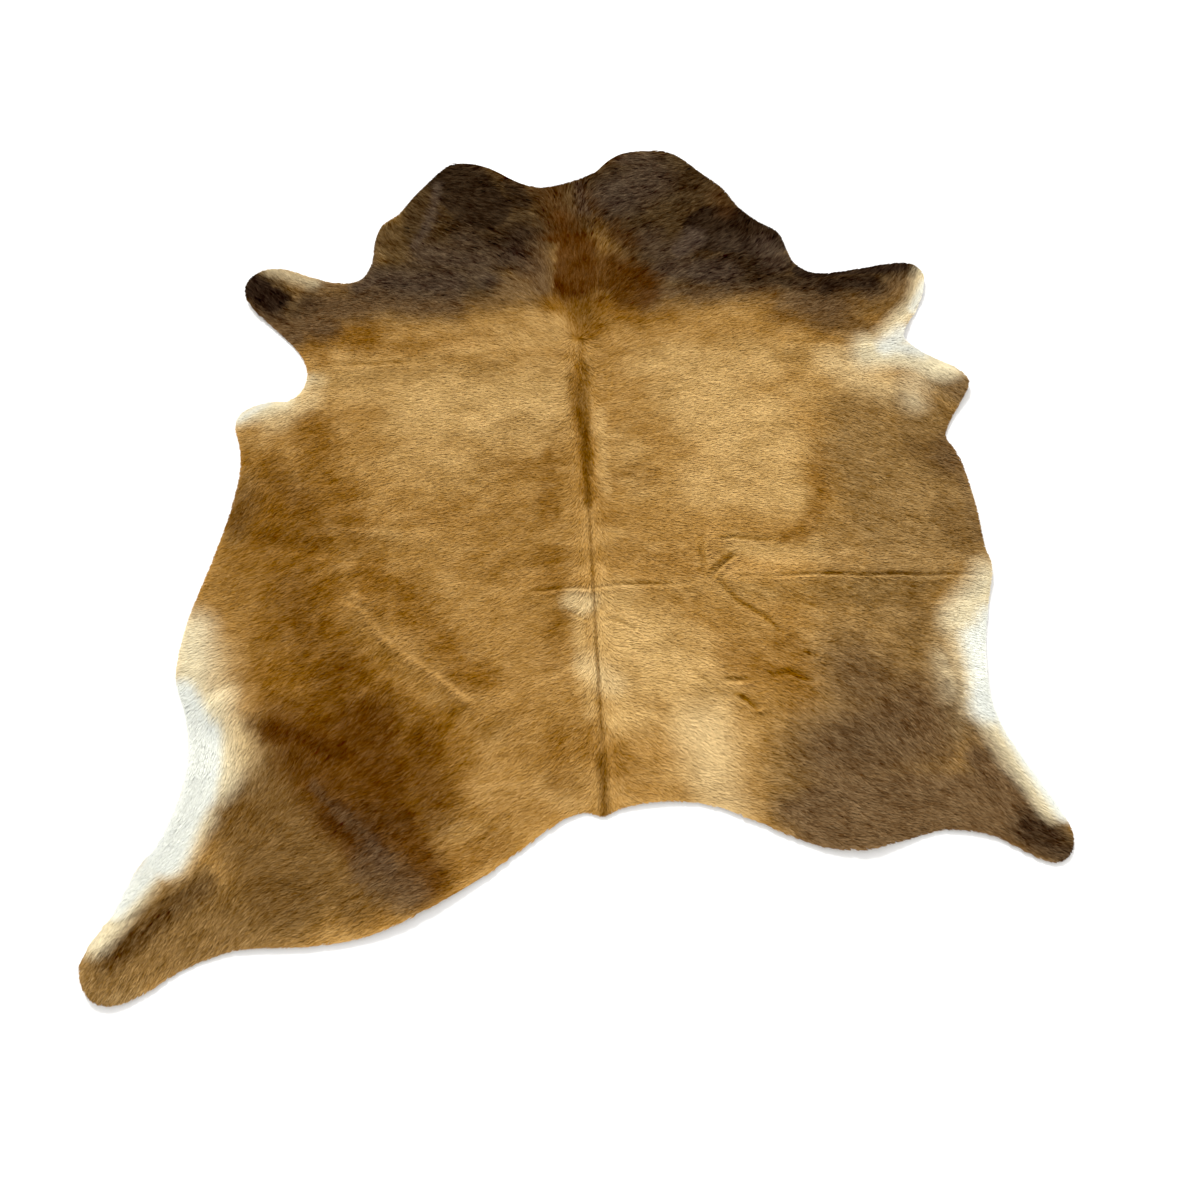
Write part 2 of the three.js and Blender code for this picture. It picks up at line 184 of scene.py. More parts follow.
# The coat's tones, each painted over the ones before it. Each row is a soft stroke in one tone:
# from x, y, to x, y, half width, width of its soft border, and strength.
TONES = {
    "straw": (
        (-600, 320, -380, 320, 50, 80, 0.60), (-330, 240, -100, 230, 110, 150, 0.95),
        (-390, 100, -230, 60, 60, 110, 0.50), (-150, 440, -50, 470, 60, 90, 0.35),
        (220, 340, 490, 330, 60, 100, 0.70), (330, 230, 430, 60, 110, 130, 0.90),
        (480, 170, 480, -50, 60, 80, 0.85), (300, -10, 440, -50, 70, 90, 0.60),
        (74, 210, 73, -10, 15, 26, 0.65), (24, 408, 25, 356, 7, 16, 0.60),
        (560, 330, 760, 290, 50, 90, 0.55), (560, 240, 670, 230, 44, 90, 0.50),
        (-770, 170, -740, 150, 30, 60, 0.45), (360, -180, 520, -205, 30, 50, 0.75),
        (66, -130, 66, -240, 28, 40, 0.25), (200, -230, 320, -330, 60, 130, 0.10),
        (76, -300, 116, -560, 50, 70, 0.80), (6, -320, 2, -560, 16, 36, 0.85),
        (60, -410, 70, -570, 40, 60, 0.80), (140, -400, 230, -550, 80, 110, 0.95),
        (-90, -700, -40, -745, 20, 50, 0.40), (-270, -790, -200, -810, 30, 60, 0.45),
        # The narrow strokes just above the left shoulder's fold, just below the right packing fold and along
        # the left belly's fold are painted highlight on the folds' lit sides
        (200, -700, 300, -640, 50, 90, 0.50), (-560, 400, -200, 395, 16, 40, 0.35),
        (320, -300, 700, -306, 12, 26, 0.30), (-640, -60, -400, -115, 16, 34, 0.35),
        (110, 120, 150, -10, 40, 60, 0.45),
    ),
    "buff": (
        (236, -610, 262, -770, 50, 90, 0.70), (-640, 318, -610, 330, 20, 40, 0.80),
        (-700, 235, -645, 290, 44, 70, 0.85), (660, 310, 770, 220, 40, 80, 0.70),
        (-770, -400, -745, -520, 30, 100, 0.55), (-940, -1064, -880, -1060, 12, 40, 0.45),
        (-716, -560, -694, -650, 34, 60, 0.90), (790, -380, 750, -480, 26, 60, 0.45),
        (-14, -292, 12, -306, 26, 36, 0.90), (10, -440, 50, -500, 24, 50, 0.70),
        (760, -500, 765, -620, 34, 50, 0.90),
    ),
    "bronze": (
        (-720, 70, -715, -190, 80, 110, 0.70), (-650, -60, -600, -380, 110, 110, 0.95),
        (-590, -430, -370, -630, 128, 120, 0.92), (-450, -60, -120, -80, 44, 80, 0.35),
        (458, -160, 500, -150, 12, 24, 0.70), (508, -134, 546, -106, 16, 28, 0.70),
        (-62, 80, -60, -70, 26, 44, 0.65), (-70, -180, -60, -240, 38, 44, 0.65),
        (-260, -180, -110, -210, 36, 60, 0.35), (-44, -335, -70, -430, 26, 46, 0.60),
        (-560, 440, -200, 440, 36, 70, 0.35), (-600, 190, -590, 20, 56, 80, 0.85),
        (110, -190, 240, -215, 34, 60, 0.45), (594, 70, 562, -60, 24, 44, 0.70),
        (562, -60, 500, -165, 22, 40, 0.60), (120, 20, 180, 10, 30, 50, 0.40),
        (540, 480, 680, 440, 50, 80, 0.60), (-420, -720, -310, -860, 70, 90, 0.70),
        (0, -620, 60, -680, 44, 70, 0.60), (320, -450, 400, -490, 40, 70, 0.75),
        (-560, 20, -500, -110, 60, 80, 0.92), (-190, 60, -20, 50, 40, 90, 0.40),
        (-480, -200, -430, -280, 46, 60, 0.90), (-400, -260, -230, -470, 42, 60, 0.90),
        (140, 500, 260, 495, 26, 50, 0.80), (440, -440, 450, -560, 46, 70, 0.75),
        (-70, -620, -60, -700, 40, 60, 0.70), (-630, 480, -500, 462, 56, 90, 0.95),
        (36, 480, 60, 440, 32, 50, 0.90), (-30, 545, 190, 500, 36, 60, 1.0),
        (30, 540, 50, 454, 46, 50, 1.0), (26, 404, 30, 330, 15, 34, 0.75), (28, 340, 30, -40, 18, 30, 0.85),
        (-150, 160, -20, 150, 40, 90, 0.30), (-150, -560, -140, -600, 34, 70, 0.35),
        (-350, -340, -330, -380, 30, 60, 0.40), (440, -330, 460, -370, 30, 70, 0.30),
        (50, -20, 60, -80, 20, 40, 0.50), (-260, -842, -200, -820, 36, 60, 0.90),
        (-260, -750, -140, -750, 30, 70, 0.40), (-645, 430, -600, 405, 20, 44, 0.80),
        (-480, -925, -420, -935, 30, 50, 0.65), (640, 415, 800, 420, 40, 70, 0.70),
        (-720, -260, -700, -330, 30, 60, 0.60),
    ),
    "olive": (
        (690, 150, 720, 60, 80, 90, 0.75), (700, 60, 740, -220, 115, 90, 0.80),
        (840, 110, 870, -200, 80, 70, 0.85), (620, -180, 580, -430, 90, 110, 0.55),
        (926, 244, 956, 215, 60, 50, 1.0), (650, -330, 740, -420, 70, 70, 0.80),
        (-870, -980, -620, -920, 80, 90, 0.75), (-980, -1020, -900, -1050, 56, 60, 0.85),
        (-750, 690, -620, 630, 34, 60, 0.85), (480, -740, 700, -540, 140, 160, 0.75),
        (800, -590, 806, -700, 30, 60, 0.80), (806, -700, 860, -800, 44, 60, 0.90),
        (-870, -905, -770, -850, 30, 44, 0.85), (-760, 60, -770, -90, 24, 50, 0.50),
        (800, 170, 880, 150, 44, 60, 0.80),
    ),
    "hazel": (
        (-664, -720, -590, -860, 108, 100, 0.92), (-540, -870, -470, -890, 70, 80, 0.85),
        (-760, -900, -640, -930, 50, 80, 0.60), (-780, 20, -790, -60, 20, 50, 0.50),
        # The thin stroke along the right packing fold, from 700, -270 to 640, -268, is painted shade in its
        # crease
        (830, 60, 900, -20, 44, 70, 0.85), (700, -270, 640, -268, 8, 18, 0.40),
        (-900, -960, -700, -930, 60, 80, 0.55), (740, -330, 700, -440, 30, 60, 0.50),
        (-44, 610, -34, 720, 36, 50, 0.95), (40, 560, 46, 490, 34, 60, 0.60),
        (850, -120, 860, -180, 40, 60, 0.60), (640, 520, 830, 500, 60, 80, 0.92),
        (640, 440, 750, 416, 34, 50, 0.90), (-920, -985, -762, -868, 34, 56, 0.97),
        (790, 180, 830, 100, 40, 80, 0.35), (890, 180, 910, 140, 24, 40, 0.60),
    ),
    "chestnut": (
        (-640, -530, -480, -570, 46, 80, 0.80), (-520, -430, -540, -520, 56, 90, 0.50),
        (-470, -560, -420, -700, 84, 110, 0.90), (-350, -610, -320, -760, 44, 80, 0.70),
        (-590, -600, -460, -760, 66, 80, 0.90), (-400, -770, -340, -870, 60, 60, 0.90),
        (-740, 10, -760, -60, 36, 60, 0.45), (-640, -220, -600, -370, 40, 80, 0.38),
        (-700, -95, -590, -110, 22, 50, 0.35), (-690, 50, -620, -20, 40, 70, 0.40),
        # The two strokes along the left thigh's crease from the rim are partly the thigh's own deep brown and
        # partly painted shade in the crease
        (-640, -552, -510, -600, 44, 60, 1.0), (-690, -546, -650, -566, 14, 34, 0.8),
        (-690, -90, -600, -70, 40, 70, 0.20), (-500, -740, -440, -810, 56, 60, 1.0),
    ),
    "walnut": (
        (520, -690, 680, -620, 112, 150, 0.92), (576, -500, 606, -560, 78, 140, 0.80),
        (480, -804, 840, -804, 100, 80, 0.95), (860, -885, 940, -916, 30, 40, 0.95),
        (-506, 760, -500, 640, 30, 40, 0.92), (800, -700, 900, -860, 44, 70, 0.95),
        (400, -790, 520, -850, 44, 80, 0.95), (900, 64, 884, 20, 36, 50, 0.65),
        (902, 0, 906, -200, 14, 30, 0.40), (-660, 530, -600, 500, 50, 70, 0.95),
        (-640, 570, -280, 562, 56, 90, 0.97), (-300, 566, -90, 570, 40, 70, 0.75),
        (-85, 760, -75, 630, 60, 70, 0.90), (-170, 600, -60, 600, 44, 50, 0.85),
        (240, 560, 640, 556, 44, 90, 0.95), (580, 530, 680, 490, 60, 120, 0.92),
        (780, 540, 870, 560, 34, 60, 0.80), (790, -620, 824, -700, 30, 60, 0.55),
        (-770, 560, -680, 480, 44, 50, 0.95), (-440, -840, -370, -900, 44, 50, 0.80),
        (940, 260, 962, 230, 16, 30, 0.70), (-580, 555, -430, 560, 40, 60, 0.92),
        (925, 262, 955, 200, 30, 40, 0.60), (-620, 640, -520, 620, 20, 36, 0.85),
        # These two strokes along the left thigh's fold towards the rump are a painted sheen band, lighter than
        # the deep brown round it
        (-560, -672, -500, -734, 9, 26, 0.65), (-500, -734, -400, -846, 17, 36, 0.75),
    ),
    "umber": (
        (-230, 960, -240, 810, 200, 90, 0.88), (250, 960, 330, 800, 220, 90, 0.88),
        (0, 960, 10, 840, 110, 90, 0.84), (-440, 790, -380, 650, 60, 60, 0.80),
        (520, 700, 440, 660, 60, 60, 0.85), (-520, 620, -460, 610, 30, 50, 0.50),
        (-280, 1010, -200, 880, 110, 80, 0.97), (-120, 970, -90, 890, 50, 70, 0.95),
        (-240, 820, -140, 790, 84, 80, 0.92), (-430, 660, -220, 640, 64, 60, 0.88),
        (130, 990, 190, 850, 70, 70, 0.92), (330, 900, 360, 950, 76, 70, 0.90),
        (200, 780, 150, 830, 60, 60, 0.90), (400, 770, 540, 740, 100, 60, 0.98),
        (370, 640, 560, 640, 60, 60, 0.95), (230, 740, 180, 720, 40, 50, 0.88),
        (290, 650, 330, 610, 34, 50, 0.80), (420, 595, 650, 578, 34, 60, 0.88),
        (620, 608, 880, 612, 38, 44, 1.0), (680, 562, 790, 570, 40, 60, 0.97),
        (-820, 660, -730, 590, 54, 56, 1.0), (-740, 560, -700, 560, 36, 60, 0.70),
        (-925, -985, -770, -872, 22, 56, 0.40), (-400, 770, -408, 730, 22, 40, 0.70),
        (-430, 596, -370, 600, 24, 50, 0.60), (-10, 930, 20, 830, 30, 50, 0.55),
        (560, -660, 620, -650, 40, 80, 0.22), (884, 606, 926, 592, 18, 34, 0.92),
        # The faint stroke from -650, -557 to -515, -612 follows the left thigh's crease and is painted shade in
        # it
        (800, 596, 896, 596, 30, 50, 0.90), (-650, -557, -515, -612, 8, 50, 0.14),
        (-450, -735, -380, -780, 24, 44, 0.28), (-545, -735, -490, -790, 16, 40, 0.20),
        (-700, 580, -660, 586, 30, 60, 0.60), (866, -850, 930, -896, 38, 50, 0.75),
        (-500, 720, -480, 650, 24, 44, 0.55), (-450, 760, -450, 700, 24, 50, 0.60),
        (140, 790, 160, 740, 30, 60, 0.60),
    ),
    "russet": (
        (-30, 950, 10, 820, 40, 60, 0.42), (14, 830, 40, 700, 34, 80, 0.85),
        (26, 700, 30, 630, 84, 60, 0.95), (140, 790, 150, 740, 24, 50, 0.40),
        (120, 650, 200, 600, 56, 60, 0.90), (30, 610, 90, 575, 48, 80, 0.60),
        # The two strokes from -700, -545 to -515, -612 follow the left thigh's crease and are painted shade in
        # it
        (-700, -545, -650, -557, 4, 30, 0.40), (-650, -557, -515, -612, 14, 50, 0.60),
        (60, 625, 150, 595, 46, 60, 0.90), (150, 560, 210, 555, 40, 50, 0.85),
        (120, 770, 170, 730, 36, 70, 0.50), (90, 900, 100, 790, 26, 60, 0.35),
        (430, 880, 450, 830, 24, 50, 0.40), (-440, 830, -420, 750, 26, 60, 0.55),
    ),
    # Partly the neck's own grey-brown and partly painted sheen on the neck's dark hair, with painted sheen
    # lines along the left cheek's fold and the left thigh's fold
    "slate_and_sheen": (
        (-340, 715, -200, 700, 46, 70, 0.55), (-320, 972, -335, 862, 10, 22, 0.75),
        (-335, 862, -374, 745, 14, 26, 0.70), (160, 900, 250, 970, 70, 90, 0.62),
        (350, 748, 310, 706, 30, 44, 0.90), (280, 650, 420, 622, 40, 60, 0.55),
        (540, 690, 560, 650, 40, 60, 0.45), (-470, 640, -280, 625, 44, 60, 0.55),
        (60, 950, 70, 850, 14, 26, 0.50), (-250, 760, -150, 700, 40, 60, 0.40),
        (430, 720, 560, 660, 30, 60, 0.25), (260, 1040, 190, 1040, 26, 40, 0.55),
        (-110, 710, -90, 660, 30, 60, 0.35), (230, 740, 280, 660, 34, 60, 0.45),
        (-440, -800, -400, -856, 14, 40, 0.25), (-230, 650, -180, 640, 30, 50, 0.50),
        (-520, 625, -480, 640, 24, 40, 0.60),
    ),
    "stripe": (
        (30, 432, 41, 418, 7, 12, 0.75), (8, 318, 12, 292, 14, 26, 0.40), (46, 350, 42, 290, 12, 26, 0.60),
        (32, 290, 30, 200, 17, 26, 0.72), (30, 200, 33, 140, 15, 20, 0.88), (33, 156, 33, 134, 12, 16, 1.0),
        (33, 150, 33, 30, 10, 15, 0.92), (33, 60, 31, -60, 7, 12, 0.90), (31, -60, 27, -600, 3, 8, 0.75),
        (27, -600, 25, -660, 5, 12, 0.60), (25, -650, 24, -770, 9, 18, 0.88),
    ),
    "cream": (
        (-850, -330, -820, -500, 50, 90, 0.94), (-800, -510, -776, -640, 60, 70, 0.99),
        (-796, -720, -846, -800, 44, 60, 0.97), (-880, -850, -955, -950, 28, 40, 0.90),
        (905, -310, 836, -400, 44, 80, 0.95), (842, -430, 832, -580, 38, 76, 0.97),
        (848, -620, 926, -800, 36, 44, 0.95), (-790, 240, -690, 278, 26, 50, 0.92),
        (-650, 315, -630, 340, 12, 30, 0.50), (750, 340, 930, 296, 44, 70, 0.95),
        (850, 250, 830, 190, 30, 70, 0.45), (942, 566, 900, 478, 28, 60, 0.92),
        (884, 468, 806, 390, 22, 60, 0.85), (-745, 692, -640, 645, 16, 44, 0.50),
        (766, -480, 768, -560, 16, 70, 0.40),
    ),
    "white": (
        (-850, -470, -795, -560, 36, 34, 1.0), (-795, -560, -795, -680, 42, 34, 1.0),
        (-795, -680, -850, -800, 40, 34, 1.0), (-850, -800, -925, -890, 24, 28, 0.95),
        (900, -400, 866, -450, 36, 40, 1.0), (866, -450, 846, -590, 44, 40, 1.0),
        (862, -620, 940, -820, 20, 26, 1.0), (850, 386, 800, 350, 26, 44, 0.85),
        (800, 350, 880, 335, 20, 40, 0.80), (930, 540, 884, 464, 10, 26, 0.75),
        (-795, 230, -730, 275, 10, 24, 0.60),
    ),
}

# The tones whose strokes keep straight borders, and those whose borders are smooth
CALM = ("stripe",)
SMOOTH = ("straw", "buff", "cream", "white")

# How much the locks differ in lightness, in the plain tan and in each tone: more in the dark ones
PLAIN_GRAIN = 0.036
GRAIN = {
    "straw": 0.032, "buff": 0.030, "bronze": 0.060, "olive": 0.070, "hazel": 0.070, "chestnut": 0.070,
    "walnut": 0.090, "umber": 0.19, "russet": 0.080, "slate_and_sheen": 0.15, "stripe": 0.070, "cream": 0.025,
    "white": 0.015,
}

# What lighter hairs and painted sheen add, and deeper hairs and painted shade lack, in red, green and blue, for
# each part of red in the tone
GLINT = (0.65, 0.585, 0.36, 1.0)


def linear(code):
    """An sRGB hex value as the linear colour that shaders work in."""
    shares = np.array([int(code[i:i + 2], 16) for i in (1, 3, 5)]) / 255.0
    curved = np.where(shares <= 0.04045, shares / 12.92, ((shares + 0.055) / 1.055) ** 2.4)
    return (*curved.tolist(), 1.0)


def colour(name, code, description):
    """A colour that a user can change, with its default."""
    return bpy.props.FloatVectorProperty(
        name=name, description=description, subtype="COLOR", size=4, min=0, max=1, default=linear(code))


class CowhideSizes(bpy.types.PropertyGroup):
    """Sizes of the skin and its coat."""
    skin: bpy.props.FloatProperty(
        name="Skin", description="Thickness of the tanned skin", default=2 * MM, unit="LENGTH")
    hair_length: bpy.props.FloatProperty(
        name="Hair length", description="Length of a lock on the back", default=16 * MM, unit="LENGTH")
    hair_width: bpy.props.FloatProperty(
        name="Lock width", description="Width of a lock at its middle", default=3.0 * MM, unit="LENGTH")
    hair_spacing: bpy.props.FloatProperty(
        name="Lock spacing", description="Distance between locks", default=2.75 * MM, unit="LENGTH")
    hair_lean: bpy.props.FloatProperty(
        name="Hair lean", description="Angle between the hair and the skin", default=math.radians(8),
        subtype="ANGLE", unit="ROTATION")


class CowhideColours(bpy.types.PropertyGroup):
    """Colours of the coat, the flesh side and the floor."""
    tan: colour("Tan", "#B08648", "The coat where nothing else colours it")
    straw: colour("Straw", "#CFAA6C", "Light bands over the shoulders and beside the backbone")
    buff: colour("Buff", "#E2C690", "The palest patches of the back")
    bronze: colour("Bronze", "#8A5F22", "The left side and the shadows of the shoulders")
    olive: colour("Olive", "#8E6F42", "The right ribs and the left hind leg")
    hazel: colour("Hazel", "#72532A", "The left thigh")
    chestnut: colour("Chestnut", "#5A350A", "The deep brown over the left thigh")
    walnut: colour("Walnut", "#695034", "The right thigh and the shading at the legs")
    umber: colour("Umber", "#2C1E13", "The neck and the edges of the forelegs")
    russet: colour("Russet", "#502C05", "The hump")
    # This colour is partly the neck's grey-brown and partly painted sheen on its dark hair and along folds
    slate_and_sheen: colour("Slate", "#5A493A", "Greyish bloom over the neck")
    stripe: colour("Stripe", "#66420B", "The stripe along the backbone")
    cream: colour("Cream", "#E4D6B0", "The fade towards belly and armpits")
    white: colour("White", "#DFE0D5", "The belly edges")
    flesh: colour("Flesh side", "#B9A58A", "The suede underside and cut edge")
    floor: colour("Floor", "#F4F3F1", "The studio floor")


def bump(distance, reach):
    """A soft bump: half of one plus the cosine of pi times distance over reach, and 0 from there outwards."""
    return np.where(distance < reach, 0.5 + 0.5 * np.cos(np.pi * np.minimum(distance / reach, 1)), 0)


def blend_up(one, two):
    """The higher of two heights, joined softly: the fourth root of the sum of their fourth powers."""
    return (one ** 4 + two ** 4) ** 0.25


def ease(share):
    """Three times the share squared minus twice its cube, with the share held between 0 and 1."""
    share = np.clip(share, 0, 1)
    return share * share * (3 - 2 * share)


def to_line(x, y, x0, y0, x1, y1):
    """Distance of each place from a straight line, and the share of the line at which it is nearest."""
    along = ((x - x0) * (x1 - x0) + (y - y0) * (y1 - y0)) / ((x1 - x0) ** 2 + (y1 - y0) ** 2 + 1e-9)
    share = np.clip(along, 0, 1)
    return np.hypot(x - x0 - share * (x1 - x0), y - y0 - share * (y1 - y0)), share


def to_path(x, y, places):
    """Distance of each place from a bent line, below 0 on its right, and the share of the line where it is
    nearest."""
    corners = np.array(places, float).reshape(-1, 2)
    lengths = np.hypot(*np.diff(corners, axis=0).T)
    best, along = np.full(x.shape, 1e9), np.zeros(x.shape)
    for k, ((x0, y0), (x1, y1)) in enumerate(zip(corners[:-1], corners[1:])):
        distance, share = to_line(x, y, x0, y0, x1, y1)
        left = (x1 - x0) * (y - y0) > (y1 - y0) * (x - x0)
        closer = distance < np.abs(best)
        best = np.where(closer, np.where(left, distance, -distance), best)
        along = np.where(closer, (lengths[:k].sum() + share * lengths[k]) / lengths.sum(), along)
    return best, along


def soft_noise(x, y, wide, long, seed):
    """Random values from -1 to 1 at the corners of oblongs, eased between the corners."""
    table = np.random.default_rng(seed).uniform(-1, 1, (256, 256))
    u, v = x / wide, y / long
    i, j = np.floor(u).astype(int), np.floor(v).astype(int)
    across, up = ease(u - i), ease(v - j)
    i0, i1, j0, j1 = i % 256, (i + 1) % 256, j % 256, (j + 1) % 256
    low = table[i0, j0] * (1 - across) + table[i1, j0] * across
    high = table[i0, j1] * (1 - across) + table[i1, j1] * across
    return low * (1 - up) + high * up


def sample(grid, start, pitch, x, y):
    """A lattice's value at any place: weighted by closeness to the four lattice places round it."""
    u = np.clip((x - start[0]) / pitch, 0, grid.shape[0] - 1.001)
    v = np.clip((y - start[1]) / pitch, 0, grid.shape[1] - 1.001)
    i, j = u.astype(int), v.astype(int)
    u, v = u - i, v - j
    low = grid[i, j] * (1 - u) + grid[i + 1, j] * u
    high = grid[i, j + 1] * (1 - u) + grid[i + 1, j + 1] * u
    return low * (1 - v) + high * v


def outline_segments():
    """The solid's outline in millimetres, from above: the edges that only one of its upward faces has."""
    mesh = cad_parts["cowhide"].data
    mesh.calc_loop_triangles()
    points = np.empty(len(mesh.vertices) * 3, np.float32)
    mesh.vertices.foreach_get("co", points)
    points = points.reshape(-1, 3).astype(float) / MM
    corners = np.empty(len(mesh.loop_triangles) * 3, np.int32)
    mesh.loop_triangles.foreach_get("vertices", corners)
    corners = corners.reshape(-1, 3)
    a, b, c = (points[corners[:, k]] for k in range(3))
    normal = np.cross(b - a, c - a)
    upward = corners[normal[:, 2] > 0.5 * np.linalg.norm(normal, axis=1)]
    places, which = np.unique(np.round(points[:, :2], 2), axis=0, return_inverse=True)
    which = which.ravel()[upward]
    edges = np.sort(np.concatenate([which[:, [0, 1]], which[:, [1, 2]], which[:, [2, 0]]]), axis=1)
    edges, times = np.unique(edges, axis=0, return_counts=True)
    edges = edges[(times == 1) & (edges[:, 0] != edges[:, 1])]
    return places[edges[:, 0]], places[edges[:, 1]]


def rim_distance(x, y):
    """How far each place is inside the outline, below 0 outside it, and the nearest place on the outline."""
    one, two = outline_segments()
    best = np.full(x.shape, 1e9)
    near_x, near_y = np.zeros(x.shape), np.zeros(x.shape)
    crossings = np.zeros(x.shape, int)
    for (x0, y0), (x1, y1) in zip(one.tolist(), two.tolist()):
        distance, share = to_line(x, y, x0, y0, x1, y1)
        closer = distance < best
        best = np.where(closer, distance, best)
        near_x = np.where(closer, x0 + share * (x1 - x0), near_x)
        near_y = np.where(closer, y0 + share * (y1 - y0), near_y)
        if y0 != y1:
            level = (y0 <= y) != (y1 <= y)
            crossings += level & (x < x0 + (y - y0) * (x1 - x0) / (y1 - y0))
    return np.where(crossings % 2 == 1, best, -best), near_x, near_y


def relief(x, y, rim):
    """Height of the skin's underside over the ground: the highest fold or lift, as in the solid, with creases
    cut in it. Also the height of the creases' lips and the depth of their troughs alone."""
    wander_x = x + WANDER * soft_noise(x, y, 70, 70, 11)
    wander_y = y + WANDER * soft_noise(x, y, 70, 70, 12)
    height = np.zeros(x.shape)
    for x0, y0, x1, y1, high, reach in FOLDS:
        distance = to_line(wander_x, wander_y, x0, y0, x1, y1)[0]
        height = blend_up(height, high * bump(distance, reach))
    for x0, y0, high, reach in LIFTS:
        height = blend_up(height, high * bump(np.hypot(x - x0, y - y0), reach))
    slack = LOOSE * (1 + soft_noise(x, y, 240, 75, 13)) + RIPPLE * (1 + soft_noise(x, y, 60, 45, 14))
    curl = CURL * (1 + soft_noise(x, y, 110, 110, 15)) * np.exp(-np.maximum(rim, 0) / CURL_REACH)
    trough, lips = np.zeros(x.shape), np.zeros(x.shape)
    for side, lip, depth, reach, places in CREASES:
        across, share = to_path(wander_x, wander_y, places)
        uneven = (4 * share * (1 - share)) ** 0.3 * (0.8 + 0.45 * soft_noise(x, y, 55, 55, 16))
        behind = across * side
        height += 0.4 * lip * uneven * bump(np.abs(behind - 2.4 * reach), 2.6 * reach)
        lips = np.maximum(lips, lip * uneven * bump(np.abs(behind - 1.1 * reach), 1.1 * reach))
        trough = np.maximum(trough, depth * uneven * bump(np.abs(across), reach))
    return np.maximum(height + 0.4 * lips + slack + curl - trough, 0), lips, trough


def hair_heading(x, y):
    """Where the hair points: the rows of directions, each weighted by the inverse cube of its distance, then
    turned along the backbone near it, towards the tail behind the whorl and towards the head before it."""
    east, north, total = (np.zeros(x.shape) for _ in range(3))
    sides = ((1, BOTH_SIDES + RIGHT_SIDE), (-1, BOTH_SIDES + LEFT_SIDE))
    for side, rows in sides:
        for across, along, degrees in rows:
            turn = math.radians(degrees)
            weight = 1 / (np.hypot(x - BACKBONE - side * across, y - along) + 25) ** 3
            own = np.where((x - BACKBONE) * side > 0, weight, weight * 0.02)
            east += own * side * math.cos(turn)
            north += own * math.sin(turn)
            total += own
    east, north = east / total, north / total
    towards = np.tanh((y - WHORL) / 25)
    wide = 34 + 30 * ease((y - 450) / 120) - 10 * ease(-y / 300)
    near = np.exp(-((x - BACKBONE) / wide) ** 2)
    east = east * (1 - near) + 0.02 * near
    north = north * (1 - near) + towards * near
    sway = np.radians(9 * soft_noise(x, y, 38, 38, 21) + 8 * soft_noise(x, y, 16, 16, 22))
    length = np.hypot(east, north) + 1e-9
    east, north = east / length, north / length
    return east * np.cos(sway) - north * np.sin(sway), east * np.sin(sway) + north * np.cos(sway)


def tone_mask(rows, x, y):
    """How strongly a tone colours each place: its strongest stroke there, each full inside its half width and
    eased to nothing over its soft border."""
    mask = np.zeros(x.shape)
    for x0, y0, x1, y1, half, border, strength in rows:
        distance = to_line(x, y, x0, y0, x1, y1)[0]
        mask = np.maximum(mask, strength * (1 - ease((distance - half + border / 2) / border)))
    return mask


